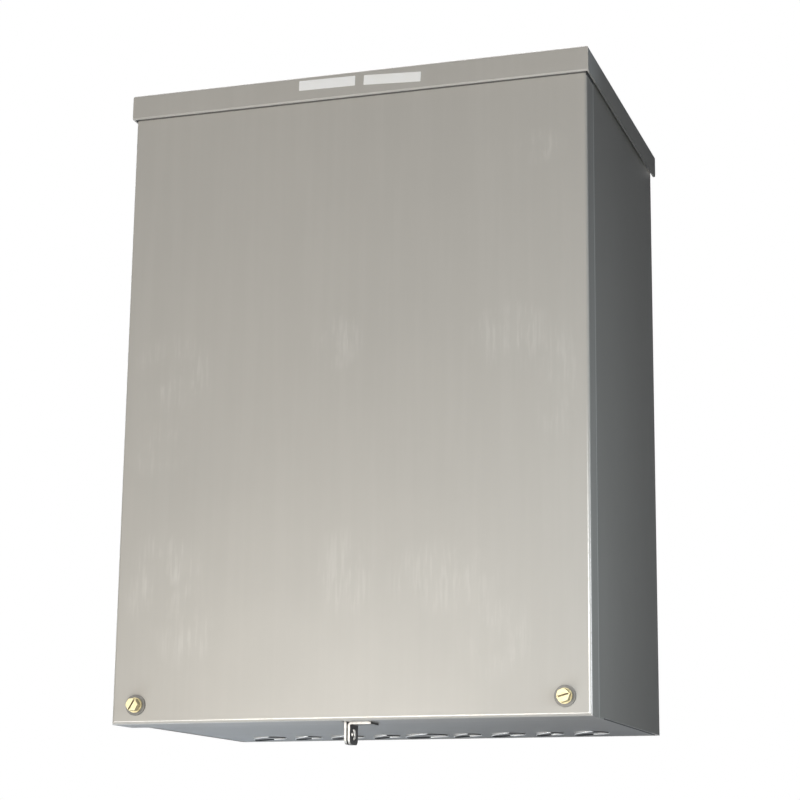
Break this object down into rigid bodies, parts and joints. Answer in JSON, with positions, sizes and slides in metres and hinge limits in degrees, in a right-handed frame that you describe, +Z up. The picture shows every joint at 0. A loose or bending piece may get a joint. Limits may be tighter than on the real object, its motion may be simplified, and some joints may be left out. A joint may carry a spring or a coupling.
{
  "type": "rainproof screw-cover enclosure",
  "caption": "Wall-mounted sheet-steel enclosure with a drip cap, a slip-on screw cover, padlock tabs, conduit knockouts in its underside and a mounting panel inside.",
  "frame": {"origin": "centre of the four wall-fixing holes, on the wall plane that the bosses of the back sheet stand on", "axes": "+Z up, +Y into the wall, +X to the right as seen from the front; the cover faces -Y"},
  "size_m": [0.4668, 0.3228, 0.6439],
  "materials": {
    "cover_paint": "satin grey paint over galvanised sheet, faint streaks and pale scuffs",
    "cap_paint": "satin grey paint over galvanised sheet, bright hem edge",
    "body_paint": "satin grey paint over galvanised sheet",
    "bracket_paint": "satin grey paint with bright sheared edges",
    "yellow_zinc": "yellow chromated zinc plate",
    "bright_zinc": "bright zinc plate",
    "panel_white": "white enamel",
    "label_white": "blank white label film"
  },
  "bodies": {
    "enclosure": {"body_shell": "body_paint", "bottom_panel": "body_paint", "drip_cap": "cap_paint", "top_rail": "body_paint", "cover_nuts": "bright_zinc", "padlock_tab": "bracket_paint", "mounting_panel": "panel_white", "panel_studs": "bright_zinc", "panel_washers": "bright_zinc", "panel_nuts": "bright_zinc", "ground_stud": "yellow_zinc", "ground_washer": "yellow_zinc", "ground_nut": "yellow_zinc"},
    "cover": {"front_cover": "cover_paint", "cover_washer_left": "bright_zinc", "cover_washer_right": "bright_zinc", "padlock_bracket": "bracket_paint"},
    "screw_left": {"cover_screw_left": "yellow_zinc", "screw_retainer_left": "bright_zinc"},
    "screw_right": {"cover_screw_right": "yellow_zinc", "screw_retainer_right": "bright_zinc"}
  },
  "joints": [
    {"name": "cover_tilt", "type": "hinge", "parent": "enclosure", "child": "cover", "pos_m": [0, -0.3155, 0.2879], "axis": [-1, 0, 0], "range_deg": [0, 25]},
    {"name": "screw_left_turn", "type": "hinge", "parent": "cover", "child": "screw_left", "pos_m": [-0.2064, -0.3145, -0.2946], "axis": [0, 1, 0], "continuous": true},
    {"name": "screw_right_turn", "type": "hinge", "parent": "cover", "child": "screw_right", "pos_m": [0.2064, -0.3145, -0.2946], "axis": [0, 1, 0], "continuous": true}
  ]
}
